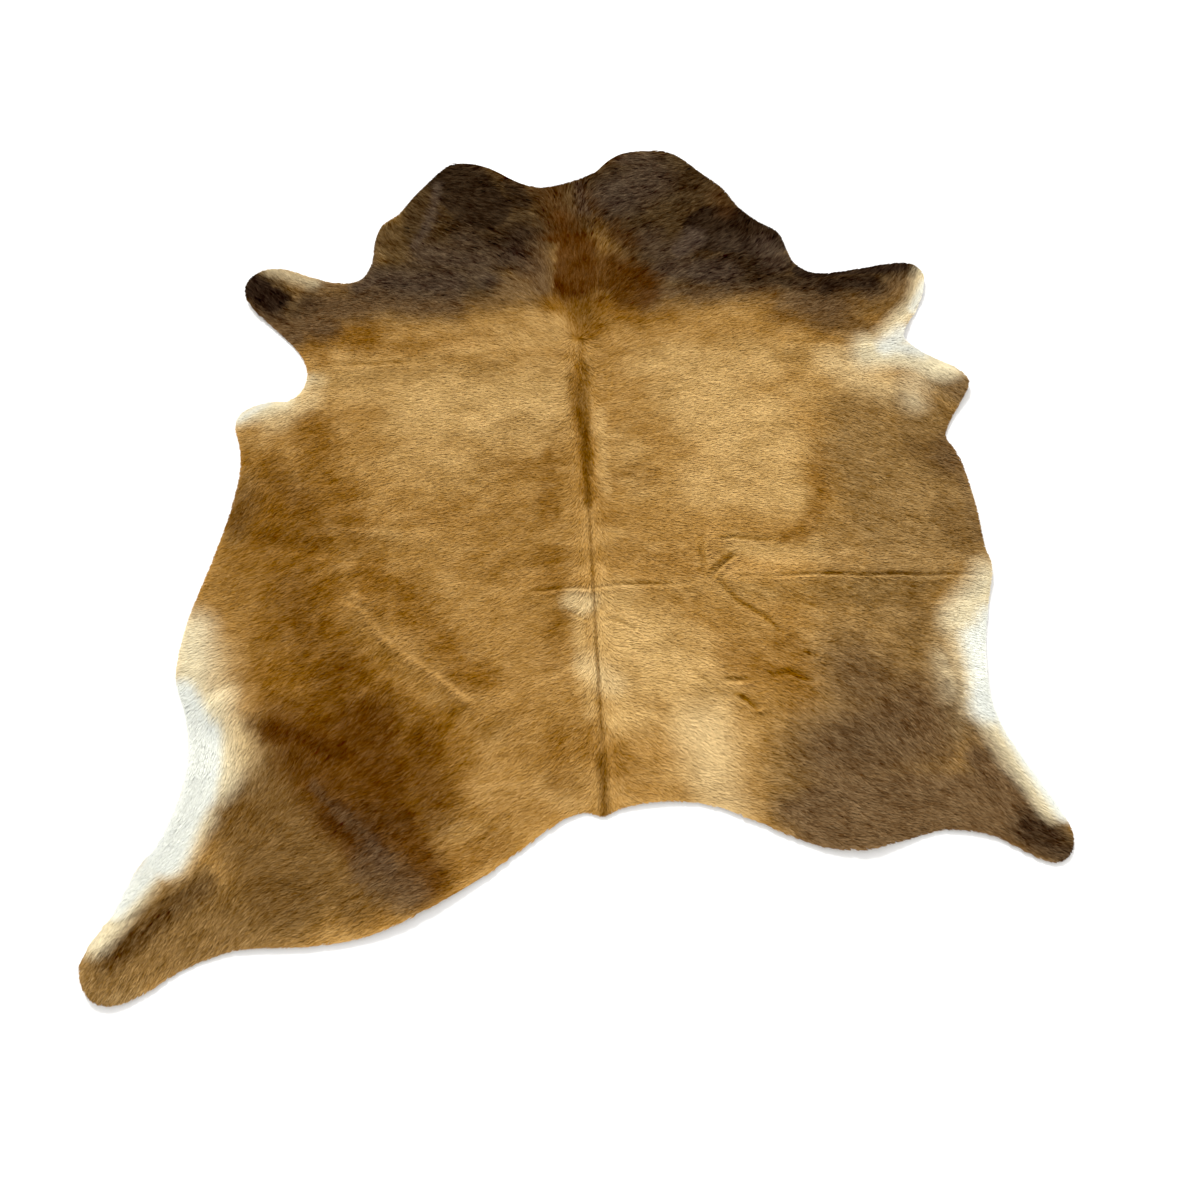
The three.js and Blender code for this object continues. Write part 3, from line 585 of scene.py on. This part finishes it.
@lru_cache(maxsize=None)
def fields():
    """Relief, slopes, rim distance, hair direction, streaks with painted sheen and painted shade, and tones on
    one lattice, worked out once.
    """
    low, high = (np.array(corner[:2]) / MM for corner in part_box("cowhide"))
    start = low - MARGIN
    steps = np.ceil((high - low + 2 * MARGIN) / FINE).astype(int) + 1
    x, y = np.meshgrid(*(start[k] + FINE * np.arange(steps[k]) for k in range(2)), indexing="ij")
    rim = rim_distance(x[::RIM_STEP, ::RIM_STEP], y[::RIM_STEP, ::RIM_STEP])[0]
    rim = sample(rim, start, FINE * RIM_STEP, x, y)
    heading = hair_heading(x[::FLOW_STEP, ::FLOW_STEP], y[::FLOW_STEP, ::FLOW_STEP])
    east, north = (sample(part, start, FINE * FLOW_STEP, x, y) for part in heading)
    length = np.hypot(east, north) + 1e-9
    east, north = east / length, north / length

    def along_hair(values, stride, count):
        """The sum of the values met when walking along the hair both ways, brought to a spread of 1."""
        total = values.copy()
        for way in (1, -1):
            walk_x, walk_y = x.copy(), y.copy()
            for _ in range(count):
                walk_x += way * stride * sample(east, start, FINE, walk_x, walk_y)
                walk_y += way * stride * sample(north, start, FINE, walk_x, walk_y)
                total += sample(values, start, FINE, walk_x, walk_y)
        return total / total.std()

    thin = along_hair(np.random.default_rng(31).uniform(-1, 1, x.shape), 2.5, 2)
    broad = along_hair(soft_noise(x, y, 8, 8, 32), 3.5, 2)
    cloud = along_hair(soft_noise(x, y, 26, 22, 33), 9.0, 1)
    haze = along_hair(soft_noise(x, y, 70, 46, 34), 20.0, 1)
    height, lips, trough = relief(x, y, rim)
    stray = STRAY * ease(rim / STRAY_RIM)
    wide_x = x + stray * soft_noise(x, y, 90, 90, 35)
    wide_y = y + stray * soft_noise(x, y, 90, 90, 36)
    rough_x = wide_x + ROUGH * stray * broad
    rough_y = wide_y + ROUGH * stray * broad
    tones = {}
    grain = np.full(x.shape, PLAIN_GRAIN)
    for name, rows in TONES.items():
        if name in CALM:
            tones[name] = tone_mask(rows, x, y)
        elif name in SMOOTH:
            tones[name] = tone_mask(rows, wide_x, wide_y)
        else:
            tones[name] = tone_mask(rows, rough_x, rough_y)
        grain += (GRAIN[name] - grain) * tones[name]
    # The hump's left border is the straight seam of the backbone, below where the neck's halves meet
    seam = np.interp(y, (480, 600, 740, 770), (-34, -24, -6, -90)) + 2 * broad
    tones["russet"] *= ease((x - seam) / 14 + 0.5)
    tones["straw"] = np.clip(tones["straw"] + 0.05 * cloud + 0.05 * haze, 0, 1)
    tones["bronze"] = np.clip(tones["bronze"] - 0.04 * cloud - 0.04 * haze, 0, 1)
    slope_x, slope_y = np.gradient(height, FINE)
    # Painted sheen: hair on slopes turned towards the light is painted lighter, on slopes turned away darker
    sheen = np.clip(-(TOWARDS_LIGHT[0] * slope_x + TOWARDS_LIGHT[1] * slope_y), -0.4, 0.4)
    streaks = np.tanh((0.66 * thin + 0.29 * broad + 0.17 * cloud + 0.16 * haze) / 2) * 2
    # Each place's lightness: random streaks along the hair, the painted sheen, a painted highlight on the
    # creases' lips and painted shade in their troughs
    light = 0.5 + grain * streaks + 0.18 * sheen + 0.024 * lips - 0.028 * trough
    return SimpleNamespace(
        start=start, end=start + FINE * (steps - 1), rim=rim, east=east, north=north, height=height,
        slope_x=slope_x, slope_y=slope_y, light=light, grain=grain, tones=tones)


def read(grid, x, y):
    """A field's value at places given in millimetres."""
    return sample(grid, fields().start, FINE, x, y)


def add_node(tree, kind, inputs=None, **settings):
    """Adds one node with its settings. Its inputs are values or other nodes' outputs, by name or number."""
    made = tree.nodes.new(kind)
    for key, value in settings.items():
        setattr(made, key, value)
    for key, value in (inputs or {}).items():
        if isinstance(value, bpy.types.NodeSocket):
            tree.links.new(value, made.inputs[key])
        else:
            made.inputs[key].default_value = value
    return made


def new_material(name):
    """An empty node material and its tree."""
    material = bpy.data.materials.new(name)
    material.use_nodes = True
    material.node_tree.nodes.clear()
    return material, material.node_tree


def per_metre(size_mm):
    """The scale of a noise whose blotches are this many millimetres across, on coordinates in metres."""
    return 1 / (size_mm * MM)


def coat_material():
    """Short cattle hair, combed by growth. Each tone is mixed over the last by its own mask, then locks differ
    a little in depth from root to tip: random streaks along the hair, painted sheen on slopes turned to the
    light, painted shade on slopes turned away, in the creases' troughs, at the roots and on the skin under
    the locks, and a painted highlight on the creases' lips. This gives the streaked satin look of a cared-for
    hide."""
    colours = bpy.context.scene.cowhide_colours
    material, tree = new_material("short cattle hair")
    place = add_node(tree, "ShaderNodeTexCoord").outputs["Object"]
    shade = tuple(colours.tan)
    for name in TONES:
        mask = add_node(tree, "ShaderNodeAttribute", attribute_name="tone_" + name).outputs["Fac"]
        shade = add_node(tree, "ShaderNodeMix", {0: mask, 6: shade, 7: tuple(getattr(colours, name))},
                         data_type="RGBA").outputs[2]
    # Blotches of 6 mm, the size of a tuft
    tufts = add_node(tree, "ShaderNodeTexNoise", {"Vector": place, "Scale": per_metre(6), "Detail": 2.0})
    lift = add_node(tree, "ShaderNodeMapRange", {
        "Value": tufts.outputs["Fac"], 1: 0.3, 2: 0.7, 3: 0.98, 4: 1.02})
    # The depth holds each place's lightness: random streaks plus painted sheen and painted shade
    depth = add_node(tree, "ShaderNodeAttribute", attribute_name="depth").outputs["Fac"]
    # Half depth leaves the tone as it is
    lock = add_node(tree, "ShaderNodeMath", {0: depth, 1: 2.0}, operation="MULTIPLY")
    both = add_node(tree, "ShaderNodeMath", {0: lift.outputs[0], 1: lock.outputs[0]}, operation="MULTIPLY")
    # Lighter hairs and painted sheen are paler than the tone, deeper hairs and painted shade richer: the tone
    # plus
    #     the glint, times the lock's share, less the glint
    red = add_node(tree, "ShaderNodeSeparateColor", {0: shade}).outputs[0]
    glint = add_node(tree, "ShaderNodeMix", {0: 1.0, 6: red, 7: GLINT}, data_type="RGBA",
                     blend_type="MULTIPLY").outputs[2]
    shade = add_node(tree, "ShaderNodeMix", {0: 1.0, 6: shade, 7: glint}, data_type="RGBA",
                     blend_type="ADD").outputs[2]
    shade = add_node(tree, "ShaderNodeMix", {0: 1.0, 6: shade, 7: both.outputs[0]}, data_type="RGBA",
                     blend_type="MULTIPLY").outputs[2]
    shade = add_node(tree, "ShaderNodeMix", {0: 1.0, 6: shade, 7: glint}, data_type="RGBA",
                     blend_type="SUBTRACT", clamp_result=True).outputs[2]
    shader = add_node(tree, "ShaderNodeBsdfPrincipled", {
        "Base Color": shade, "Roughness": 0.6, "Specular IOR Level": 0.0})
    add_node(tree, "ShaderNodeOutputMaterial", {"Surface": shader.outputs[0]})
    return material


def suede_material():
    """The flesh side: chrome-tanned split suede, matt and slightly fibrous, pale beige with darker clouds."""
    colours = bpy.context.scene.cowhide_colours
    material, tree = new_material("flesh-side suede")
    place = add_node(tree, "ShaderNodeTexCoord").outputs["Object"]
    clouds = add_node(tree, "ShaderNodeTexNoise", {"Vector": place, "Scale": per_metre(90), "Detail": 4.0})
    nap = add_node(tree, "ShaderNodeTexNoise", {"Vector": place, "Scale": per_metre(3), "Detail": 3.0})
    share = add_node(tree, "ShaderNodeMapRange", {
        "Value": clouds.outputs["Fac"], 1: 0.35, 2: 0.7, 3: 0.0, 4: 0.45})
    shade = add_node(tree, "ShaderNodeMix", {
        0: share.outputs[0], 6: tuple(colours.flesh), 7: linear("#8E7B62")}, data_type="RGBA").outputs[2]
    fleck = add_node(tree, "ShaderNodeMapRange", {
        "Value": nap.outputs["Fac"], 1: 0.3, 2: 0.7, 3: 0.9, 4: 1.08})
    shade = add_node(tree, "ShaderNodeMix", {0: 1.0, 6: shade, 7: fleck.outputs[0]}, data_type="RGBA",
                     blend_type="MULTIPLY").outputs[2]
    raised = add_node(tree, "ShaderNodeBump", {
        "Height": nap.outputs["Fac"], "Strength": 0.35, "Distance": 0.6 * MM})
    shader = add_node(tree, "ShaderNodeBsdfPrincipled", {
        "Base Color": shade, "Roughness": 0.92, "Specular IOR Level": 0.2, "Sheen Weight": 0.2,
        "Normal": raised.outputs[0]})
    add_node(tree, "ShaderNodeOutputMaterial", {"Surface": shader.outputs[0]})
    return material


def mesh_piece(name, points, corners, materials, attributes=None, uv=None, material_of=None):
    """A mesh of triangles from arrays: places in metres, corners, named values per place, a bake layout."""
    mesh = bpy.data.meshes.new(name)
    mesh.vertices.add(len(points))
    mesh.vertices.foreach_set("co", np.ascontiguousarray(points, np.float32).ravel())
    mesh.loops.add(corners.size)
    mesh.loops.foreach_set("vertex_index", np.ascontiguousarray(corners, np.int32).ravel())
    mesh.polygons.add(len(corners))
    mesh.polygons.foreach_set("loop_start", np.arange(0, corners.size, 3, dtype=np.int32))
    mesh.update(calc_edges=True)
    for key, values in (attributes or {}).items():
        layer = mesh.attributes.new(key, "FLOAT", "POINT")
        layer.data.foreach_set("value", np.ascontiguousarray(values, np.float32))
    if uv is not None:
        layer = mesh.uv_layers.new(name="OFBake")
        layer.data.foreach_set("uv", np.ascontiguousarray(uv, np.float32).ravel())
    for material in materials:
        mesh.materials.append(material)
    if material_of is not None:
        mesh.polygons.foreach_set("material_index", np.ascontiguousarray(material_of, np.int32))
    piece = bpy.data.objects.new(name, mesh)
    bpy.context.scene.collection.objects.link(piece)
    return piece


def skin_lattice():
    """The skin from above: a lattice whose outermost places are moved onto the rim, as places and triangles."""
    field = fields()
    counts = np.floor((field.end - field.start) / SKIN_PITCH).astype(int)
    lines = (field.start[k] + SKIN_PITCH * (np.arange(counts[k]) + 0.37) for k in range(2))
    x, y = np.meshgrid(*lines, indexing="ij")
    rim, near_x, near_y = rim_distance(x, y)
    inside = rim - RIM_INSET
    core = inside > CORE_SHARE * SKIN_PITCH
    inward = np.where(np.abs(rim) < 1e-6, 1e-6, rim)
    rim_x = near_x + RIM_INSET * (x - near_x) / inward
    rim_y = near_y + RIM_INSET * (y - near_y) / inward
    x, y = np.where(core, x, rim_x), np.where(core, y, rim_y)
    number = np.arange(x.size).reshape(x.shape)
    quads = np.stack([number[:-1, :-1], number[1:, :-1], number[1:, 1:], number[:-1, 1:]], -1).reshape(-1, 4)
    cores = core.ravel()[quads]
    kept = cores.any(axis=1)
    quads, cores = quads[kept], cores[kept]
    # The cut goes through a lone inner corner, so that no triangle lies flat along the rim
    turned = (cores[:, 1] & ~cores[:, 0] & ~cores[:, 2]) | (cores[:, 3] & ~cores[:, 0] & ~cores[:, 2])
    quads = np.where(turned[:, None], np.roll(quads, -1, axis=1), quads)
    triangles = np.concatenate([quads[:, [0, 1, 2]], quads[:, [0, 2, 3]]])
    used, triangles = np.unique(triangles, return_inverse=True)
    return x.ravel()[used], y.ravel()[used], triangles.reshape(-1, 3)


def rim_edges(triangles):
    """The edges that only one triangle has, each in that triangle's own direction."""
    edges = np.concatenate([triangles[:, [0, 1]], triangles[:, [1, 2]], triangles[:, [2, 0]]])
    _, first, times = np.unique(np.sort(edges, axis=1), axis=0, return_index=True, return_counts=True)
    return edges[first[times == 1]]


class COWHIDE_OT_skin(bpy.types.Operator):
    """Makes the tanned skin: a closed sheet that follows the folds, coat colours above and suede below"""
    bl_idname = "cowhide.skin"
    bl_label = "Skin"

    def execute(self, context):
        field = fields()
        skin = context.scene.cowhide_sizes.skin / MM
        x, y, top = skin_lattice()
        z = read(field.height, x, y)
        edges = rim_edges(top)
        ring, where = np.unique(edges, return_inverse=True)
        where = where.reshape(-1, 2)
        run = np.stack([x, y], 1)[edges[:, 1]] - np.stack([x, y], 1)[edges[:, 0]]
        outward = np.zeros((len(ring), 2))
        for k in range(2):
            np.add.at(outward, where[:, k], np.stack([run[:, 1], -run[:, 0]], 1))
        outward /= np.linalg.norm(outward, axis=1)[:, None] + 1e-9
        count = len(x)
        above = np.stack([x, y, z + skin], 1)
        below = np.stack([x, y, z], 1)
        middle = np.column_stack([x[ring] + RIM_BULGE * outward[:, 0], y[ring] + RIM_BULGE * outward[:, 1],
                                  z[ring] + skin / 2])
        points = np.concatenate([above, below, middle]) * MM
        # The wall: from the upper ring over the bulge to the lower ring
        up_a, up_b = edges[:, 0], edges[:, 1]
        mid_a, mid_b = 2 * count + where[:, 0], 2 * count + where[:, 1]
        low_a, low_b = up_a + count, up_b + count
        wall = np.concatenate([
            np.stack([up_a, mid_a, mid_b], 1), np.stack([up_a, mid_b, up_b], 1),
            np.stack([mid_a, low_a, low_b], 1), np.stack([mid_a, low_b, mid_b], 1)])
        corners = np.concatenate([top, top[:, ::-1] + count, wall])
        # The bake layout: hair side on the left, flesh side on the right, and the wall folded out round the
        # hair side
        flat = np.stack([x, y], 1)
        folded = np.zeros((count, 2))
        folded[ring] = outward
        layout = np.concatenate([flat, flat, flat[ring] + 6 * outward])
        uv = layout[corners]
        wall_start = 2 * len(top)
        is_low = (corners[wall_start:] >= count) & (corners[wall_start:] < 2 * count)
        uv[wall_start:][is_low] += 12 * folded[corners[wall_start:][is_low] - count]
        span = field.end - field.start
        uv = (uv - field.start) / span * (0.48, 0.96) + (0.01, 0.02)
        uv[len(top):wall_start, :, 0] += 0.5
        tones = {"tone_" + name: read(grid, x, y) for name, grid in field.tones.items()}
        # The skin between the locks takes the coat's lightness painted darker, as painted shade under the hair
        tones["depth"] = 0.85 * read(field.light, x, y)
        attributes = {name: np.concatenate([v, v, v[ring]]) for name, v in tones.items()}
        materials = [bpy.data.materials["short cattle hair"], suede_material()]
        piece = mesh_piece("cowhide_skin", points, corners, materials, attributes, uv,
                           np.arange(len(corners)) >= len(top))
        piece.data.shade_smooth()
        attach(piece, "root")
        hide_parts("cowhide")
        return {"FINISHED"}


class COWHIDE_OT_coat(bpy.types.Operator):
    """Makes the coat: flat locks of short hair over the whole skin, in four bands from neck to rump"""
    bl_idname = "cowhide.coat"
    bl_label = "Coat"

    def execute(self, context):
        field = fields()
        sizes = context.scene.cowhide_sizes
        material = bpy.data.materials["short cattle hair"]
        draw = np.random.default_rng(41)
        pitch = sizes.hair_spacing / MM
        counts = np.ceil((field.end - field.start) / pitch).astype(int)
        x, y = np.meshgrid(*(field.start[k] + pitch * np.arange(counts[k]) for k in range(2)), indexing="ij")
        x = (x + pitch * draw.uniform(-0.55, 0.55, x.shape)).ravel()
        y = (y + pitch * draw.uniform(-0.55, 0.55, y.shape)).ravel()
        kept = read(field.rim, x, y) > RIM_INSET - 1.0
        x, y = x[kept], y[kept]
        order = np.argsort(-y)
        for name, band in zip(BANDS, np.array_split(order, len(BANDS))):
            piece = self.locks(context, "coat_" + name, x[band], y[band], draw, material)
            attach(piece, "root")
        return {"FINISHED"}

    def locks(self, context, name, x, y, draw, material):
        """Each lock is a slim kite with its root in the skin: it rises by the lean over its first half and lies
        down over its second. Near the rim it is shortened to end a little past the edge."""
        field = fields()
        sizes = context.scene.cowhide_sizes
        count = len(x)
        calm = 1 - 0.7 * read(field.tones["white"], x, y) - 0.4 * read(field.tones["cream"], x, y)
        calm = np.maximum(calm, 0.25)
        turn = np.radians(draw.normal(0, LOCK_SPREAD, count)) * calm
        east, north = read(field.east, x, y), read(field.north, x, y)
        east, north = east * np.cos(turn) - north * np.sin(turn), east * np.sin(turn) + north * np.cos(turn)
        slope_x, slope_y = read(field.slope_x, x, y), read(field.slope_y, x, y)
        normal = np.stack([-slope_x, -slope_y, np.ones(count)], 1)
        normal /= np.linalg.norm(normal, axis=1)[:, None]
        run = np.stack([east, north, east * slope_x + north * slope_y], 1)
        run /= np.linalg.norm(run, axis=1)[:, None]
        roll = (np.radians(draw.normal(0, LOCK_SPREAD, count)) * calm)[:, None]
        side = np.cross(run, normal) * np.cos(roll) + normal * np.sin(roll)
        rim = read(field.rim, x, y)
        longer = 1 + NECK_LONGER * ease((y - 480) / 200)
        length = sizes.hair_length / MM * longer * draw.uniform(0.75, 1.25, count)
        ahead = read(field.rim, x + 6 * east, y + 6 * north)
        leaving = np.clip((rim - ahead) / 6, 0, 1)
        room = (rim + draw.uniform(-0.5, 2.5, count)) / np.maximum(leaving, 0.2)
        length = np.clip(np.minimum(length, room), 3, None)
        lean = sizes.hair_lean * (1 + calm * draw.uniform(-0.5, 0.5, count)) * ease(rim / 25)
        lean -= np.radians(6) * leaving * (1 - ease(rim / 18))
        half = sizes.hair_width / MM / 2 * draw.uniform(0.6, 1.4, count)[:, None]
        root = np.stack([x, y, read(field.height, x, y) + sizes.skin / MM - TUCK], 1)
        reach, rise = (length * np.cos(lean))[:, None], (length * np.sin(lean))[:, None]
        middle = root + 0.5 * reach * run + (0.7 * rise + 0.2) * normal
        tip = root + reach * run + (rise + 0.2) * normal
        points = np.stack([root, middle + half * side, tip, middle - half * side], 1).reshape(-1, 3)
        points[:, 2] = np.maximum(points[:, 2], 0.3)
        own = read(field.grain, x, y) * draw.normal(0, 0.5, count)
        # A lock's root is painted darker than its middle and tip, as painted shade among the hairs, less so
        # where the coat is white or cream
        depth = np.stack([
            (1 - 0.2 * calm) * read(field.light, x, y) + own,
            read(field.light, *middle.T[:2]) + own,
            read(field.light, *tip.T[:2]) + own], 1)
        attributes = {"depth": np.clip(depth[:, [0, 1, 2, 1]].ravel(), 0.02, 1)}
        for tone, grid in field.tones.items():
            attributes["tone_" + tone] = np.repeat(read(grid, *middle.T[:2]), 4)
        low, high = points[:, :2].min(0), points[:, :2].max(0)
        uv = (points[:, :2] - low) / (high - low) * 0.98 + 0.01
        first = 4 * np.arange(count)[:, None]
        corners = np.concatenate([first + (0, 1, 2), first + (0, 2, 3)])
        return mesh_piece(name, points * MM, corners, [material], attributes, uv[corners])


class COWHIDE_OT_stage(bpy.types.Operator):
    """Makes the pale studio floor, the soft light from the neck side, the background and the camera"""
    bl_idname = "cowhide.stage"
    bl_label = "Stage"

    def execute(self, context):
        scene = context.scene
        half = FLOOR_HALF
        corners = np.array([[0, 1, 2], [0, 2, 3]])
        points = np.array([[-half, -half, -MM], [half, -half, -MM], [half, half, -MM], [-half, half, -MM]])
        material, tree = new_material("painted studio floor")
        place = add_node(tree, "ShaderNodeTexCoord").outputs["Object"]
        # Blotches of 400 mm, as in rolled matt paint
        paint = add_node(tree, "ShaderNodeTexNoise", {
            "Vector": place, "Scale": per_metre(400), "Detail": 2.0})
        share = add_node(tree, "ShaderNodeMapRange", {"Value": paint.outputs["Fac"], 3: 0.0, 4: 0.15})
        plain = tuple(scene.cowhide_colours.floor)
        shade = add_node(tree, "ShaderNodeMix", {
            0: share.outputs[0], 6: plain, 7: linear("#EFEEEB")}, data_type="RGBA")
        shader = add_node(tree, "ShaderNodeBsdfPrincipled", {
            "Base Color": shade.outputs[2], "Roughness": 0.9})
        add_node(tree, "ShaderNodeOutputMaterial", {"Surface": shader.outputs[0]})
        floor = mesh_piece("floor", points, corners, [material])
        world = bpy.data.worlds.new("studio")
        world.use_nodes = True
        world.node_tree.nodes["Background"].inputs["Color"].default_value = (1, 1, 1, 1)
        world.node_tree.nodes["Background"].inputs["Strength"].default_value = 1.0
        scene.world = world
        lamp = bpy.data.lights.new("key", "SUN")
        lamp.angle = SUN_SPREAD
        lamp.energy = SUN_STRENGTH
        key = bpy.data.objects.new("key", lamp)
        key.location = SUN_PLACE
        key.rotation_euler = (Vector((0, 0, 0)) - key.location).to_track_quat("-Z", "Y").to_euler()
        scene.collection.objects.link(key)
        lens = bpy.data.cameras.new("camera")
        lens.lens = FOCAL_LENGTH
        lens.sensor_width = FILM_WIDTH
        camera = bpy.data.objects.new("camera", lens)
        camera.location = CAMERA_PLACE
        level = math.cos(CAMERA_TILT)
        towards = Vector((CAMERA_HEADING[0] * level, CAMERA_HEADING[1] * level, -math.sin(CAMERA_TILT)))
        camera.rotation_euler = towards.to_track_quat("-Z", "Y").to_euler()
        scene.collection.objects.link(camera)
        scene.camera = camera
        scene.view_settings.view_transform = "Standard"
        return {"FINISHED"}


class COWHIDE_PT_panel(bpy.types.Panel):
    """Lists the hide's sizes, colours and pieces"""
    bl_idname = "COWHIDE_PT_panel"
    bl_label = "Cowhide"
    bl_space_type = "VIEW_3D"
    bl_region_type = "UI"
    bl_category = "Cowhide"

    def draw(self, context):
        for group in (context.scene.cowhide_sizes, context.scene.cowhide_colours):
            for key in group.__annotations__:
                self.layout.prop(group, key)
        for operator in OPERATORS:
            self.layout.operator(operator.bl_idname)


OPERATORS = (COWHIDE_OT_skin, COWHIDE_OT_coat, COWHIDE_OT_stage)
CLASSES = (CowhideSizes, CowhideColours, *OPERATORS, COWHIDE_PT_panel)


def register():
    for item in CLASSES:
        bpy.utils.register_class(item)
    bpy.types.Scene.cowhide_sizes = bpy.props.PointerProperty(type=CowhideSizes)
    bpy.types.Scene.cowhide_colours = bpy.props.PointerProperty(type=CowhideColours)


def unregister():
    del bpy.types.Scene.cowhide_colours
    del bpy.types.Scene.cowhide_sizes
    for item in reversed(CLASSES):
        bpy.utils.unregister_class(item)


def main():
    register()
    coat_material()
    bpy.ops.cowhide.skin()
    bpy.ops.cowhide.coat()
    bpy.ops.cowhide.stage()


if __name__ == "__main__":
    main()
